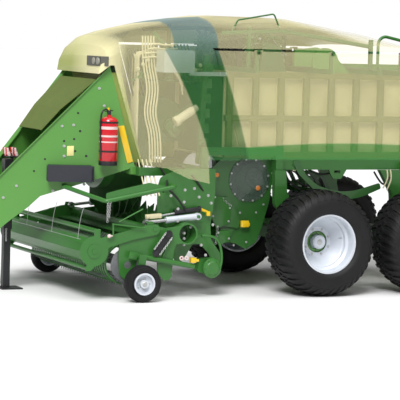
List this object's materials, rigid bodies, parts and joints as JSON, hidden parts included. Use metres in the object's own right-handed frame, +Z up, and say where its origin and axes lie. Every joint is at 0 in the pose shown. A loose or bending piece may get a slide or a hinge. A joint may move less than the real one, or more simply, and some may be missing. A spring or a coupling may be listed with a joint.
{
  "type": "towed large square baler",
  "caption": "Towed large square baler: drawbar, hood with side panels, pick-up, bale chamber, tandem wheels and a rear chute",
  "frame": {"origin": "on the ground, below the middle of the machine's length and width", "axes": "-X is the direction of travel (drawbar), +Y is the right side, +Z is up"},
  "size_m": [7.3306, 2.75, 2.8154],
  "materials": {
    "green": "gloss farm-machine paint",
    "green_dark": "gloss farm-machine paint, darker",
    "steel_black": "satin",
    "black": "satin",
    "clear": "clear moulded sheet",
    "tine_steel": "spring steel",
    "cream_shell": "see-through moulded shell",
    "grey_box": "satin",
    "hose": "oil pipes",
    "red": "gloss",
    "dark_box": "moulded",
    "silver": "silver wheel paint",
    "rod_chrome": "chromed rod",
    "tyre_rubber": "new rubber"
  },
  "bodies": {
    "chassis": {"drawbar": "green", "hitch_eye": "steel_black", "jack_tube": "black", "main_gearbox": "green_dark", "main_frame": "green", "tandem_frame": "green", "bale_chamber": "green_dark", "plunger": "green_dark", "feed_housing": "green_dark", "housing_covers": "clear", "knotter_table": "green_dark", "knotter_cover": "green", "knotter_fans": "black", "needle_yoke": "green_dark", "hood": "cream_shell", "front_cover": "cream_shell", "hood_supports": "green_dark", "rear_rail": "green", "rear_lamps": "black", "control_box": "grey_box", "pipe_bundle": "hose", "fire_extinguisher": "red", "toolbox": "dark_box", "side_guards": "green", "chute_hinge": "green"},
    "flywheel": {"flywheel": "green_dark"},
    "jack": {"jack_leg": "black"},
    "feeder": {"feeder_rotor": "green_dark"},
    "pickup": {"pickup_frame": "green"},
    "reel": {"tine_reel": "tine_steel"},
    "guard": {"wind_guard": "green"},
    "roller": {"crop_roller": "green"},
    "chute": {"bale_chute": "green"},
    "panel_left": {"side_panel_left": "cream_shell"},
    "barrel_left": {"lift_barrel_left": "silver"},
    "piston_left": {"lift_rod_left": "rod_chrome"},
    "gauge_left": {"gauge_tyre_left": "tyre_rubber", "gauge_rim_left": "silver"},
    "wheelset_front_left": {"tyre_front_left": "tyre_rubber", "wheel_front_left": "silver"},
    "wheelset_rear_left": {"tyre_rear_left": "tyre_rubber", "wheel_rear_left": "silver"},
    "panel_right": {"side_panel_right": "cream_shell"},
    "barrel_right": {"lift_barrel_right": "silver"},
    "piston_right": {"lift_rod_right": "rod_chrome"},
    "gauge_right": {"gauge_tyre_right": "tyre_rubber", "gauge_rim_right": "silver"},
    "wheelset_front_right": {"tyre_front_right": "tyre_rubber", "wheel_front_right": "silver"},
    "wheelset_rear_right": {"tyre_rear_right": "tyre_rubber", "wheel_rear_right": "silver"}
  },
  "joints": [
    {"name": "flywheel_spin", "type": "hinge", "parent": "chassis", "child": "flywheel", "pos_m": [-1.99531, 0, 1.48], "axis": [1, 0, 0], "continuous": true},
    {"name": "jack_slide", "type": "slide", "parent": "chassis", "child": "jack", "axis": [0, 0, 1], "range_m": [0, 0.35]},
    {"name": "feeder_spin", "type": "hinge", "parent": "chassis", "child": "feeder", "pos_m": [-1.47531, 0, 0.64], "axis": [0, 1, 0], "continuous": true},
    {"name": "pickup_lift", "type": "hinge", "parent": "chassis", "child": "pickup", "pos_m": [-1.47531, 0, 0.64], "axis": [0, 1, 0], "range_deg": [0, 12]},
    {"name": "reel_spin", "type": "hinge", "parent": "pickup", "child": "reel", "pos_m": [-2.10531, 0, 0.345], "axis": [0, 1, 0], "continuous": true},
    {"name": "guard_lift", "type": "hinge", "parent": "pickup", "child": "guard", "pos_m": [-1.83531, 0, 0.69], "axis": [0, 1, 0], "range_deg": [0, 5]},
    {"name": "roller_spin", "type": "hinge", "parent": "guard", "child": "roller", "pos_m": [-2.46531, 0, 0.485], "axis": [0, 1, 0], "continuous": true},
    {"name": "chute_fold", "type": "hinge", "parent": "chassis", "child": "chute", "pos_m": [2.63869, 0, 1.18], "axis": [0, -1, 0], "range_deg": [0, 95]},
    {"name": "panel_left_open", "type": "hinge", "parent": "chassis", "child": "panel_left", "pos_m": [0.00469, -1.239, 2.446], "axis": [-1, 0, 0], "range_deg": [0, 80]},
    {"name": "gauge_left_spin", "type": "hinge", "parent": "pickup", "child": "gauge_left", "pos_m": [-2.01831, -1.31, 0.182], "axis": [0, 1, 0], "continuous": true},
    {"name": "wheel_front_left_spin", "type": "hinge", "parent": "chassis", "child": "wheelset_front_left", "pos_m": [0.00469, -1.07, 0.533], "axis": [0, 1, 0], "continuous": true},
    {"name": "wheel_rear_left_spin", "type": "hinge", "parent": "chassis", "child": "wheelset_rear_left", "pos_m": [1.20469, -1.07, 0.533], "axis": [0, 1, 0], "continuous": true},
    {"name": "barrel_left_swing", "type": "hinge", "parent": "chassis", "child": "barrel_left", "pos_m": [-1.32531, -1.018, 0.8], "axis": [0, 1, 0], "range_deg": [0, 8.76]},
    {"name": "piston_left_stroke", "type": "slide", "parent": "barrel_left", "child": "piston_left", "axis": [0.995, 0, 0.0995], "range_m": [0, 0.0337]},
    {"name": "panel_right_open", "type": "hinge", "parent": "chassis", "child": "panel_right", "pos_m": [0.00469, 1.239, 2.446], "axis": [1, 0, 0], "range_deg": [0, 80]},
    {"name": "gauge_right_spin", "type": "hinge", "parent": "pickup", "child": "gauge_right", "pos_m": [-2.01831, 1.31, 0.182], "axis": [0, 1, 0], "continuous": true},
    {"name": "wheel_front_right_spin", "type": "hinge", "parent": "chassis", "child": "wheelset_front_right", "pos_m": [0.00469, 1.07, 0.533], "axis": [0, 1, 0], "continuous": true},
    {"name": "wheel_rear_right_spin", "type": "hinge", "parent": "chassis", "child": "wheelset_rear_right", "pos_m": [1.20469, 1.07, 0.533], "axis": [0, 1, 0], "continuous": true},
    {"name": "barrel_right_swing", "type": "hinge", "parent": "chassis", "child": "barrel_right", "pos_m": [-1.32531, 1.018, 0.8], "axis": [0, 1, 0], "range_deg": [0, 8.76]},
    {"name": "piston_right_stroke", "type": "slide", "parent": "barrel_right", "child": "piston_right", "axis": [0.995, 0, 0.0995], "range_m": [0, 0.0337]}
  ],
  "couplings": [
    {"joint": "barrel_left_swing", "follows": "pickup_lift", "ratio": 0.71349},
    {"joint": "piston_left_stroke", "follows": "pickup_lift", "m_per_rad": 0.15599},
    {"joint": "barrel_right_swing", "follows": "pickup_lift", "ratio": 0.71349},
    {"joint": "piston_right_stroke", "follows": "pickup_lift", "m_per_rad": 0.15599}
  ]
}
